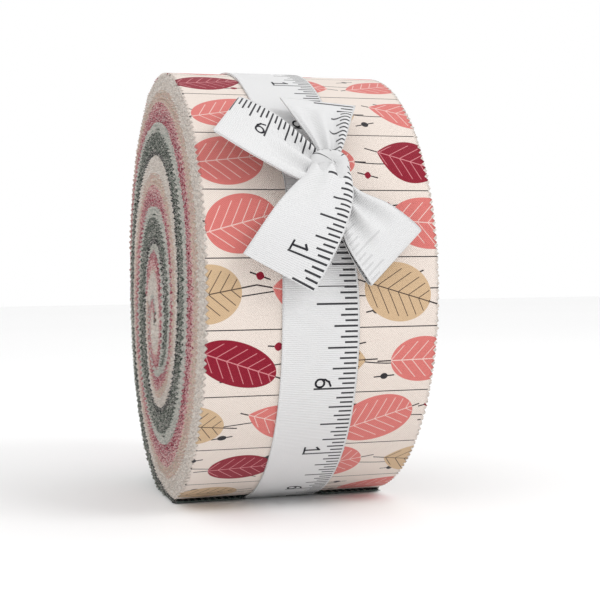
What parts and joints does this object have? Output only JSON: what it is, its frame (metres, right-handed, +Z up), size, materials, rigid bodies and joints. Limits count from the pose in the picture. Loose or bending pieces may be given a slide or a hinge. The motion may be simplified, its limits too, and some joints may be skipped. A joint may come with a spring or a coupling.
{
  "type": "rolled bundle of fabric strips tied with ribbon",
  "caption": "Folded stack of pinked cotton strips wound into a thick drum-shaped roll, standing on a small flat spot and tied with a tape bow.",
  "frame": {"origin": "middle of the flat spot under the roll, on the surface it stands on", "axes": "+X along the roll's axis, away from the end that the picture shows; -Y is the front with the bow; +Z up"},
  "size_m": [0.066, 0.1373, 0.1277],
  "materials": {
    "printed_cotton": "plain-woven cotton, printed, with pinked edges",
    "twill_tape": "white ribbed cotton tape with dark tape-measure marks"
  },
  "bodies": {
    "root": {"rolled_strips": "printed_cotton", "ribbon_tie": "twill_tape"}
  },
  "joints": []
}
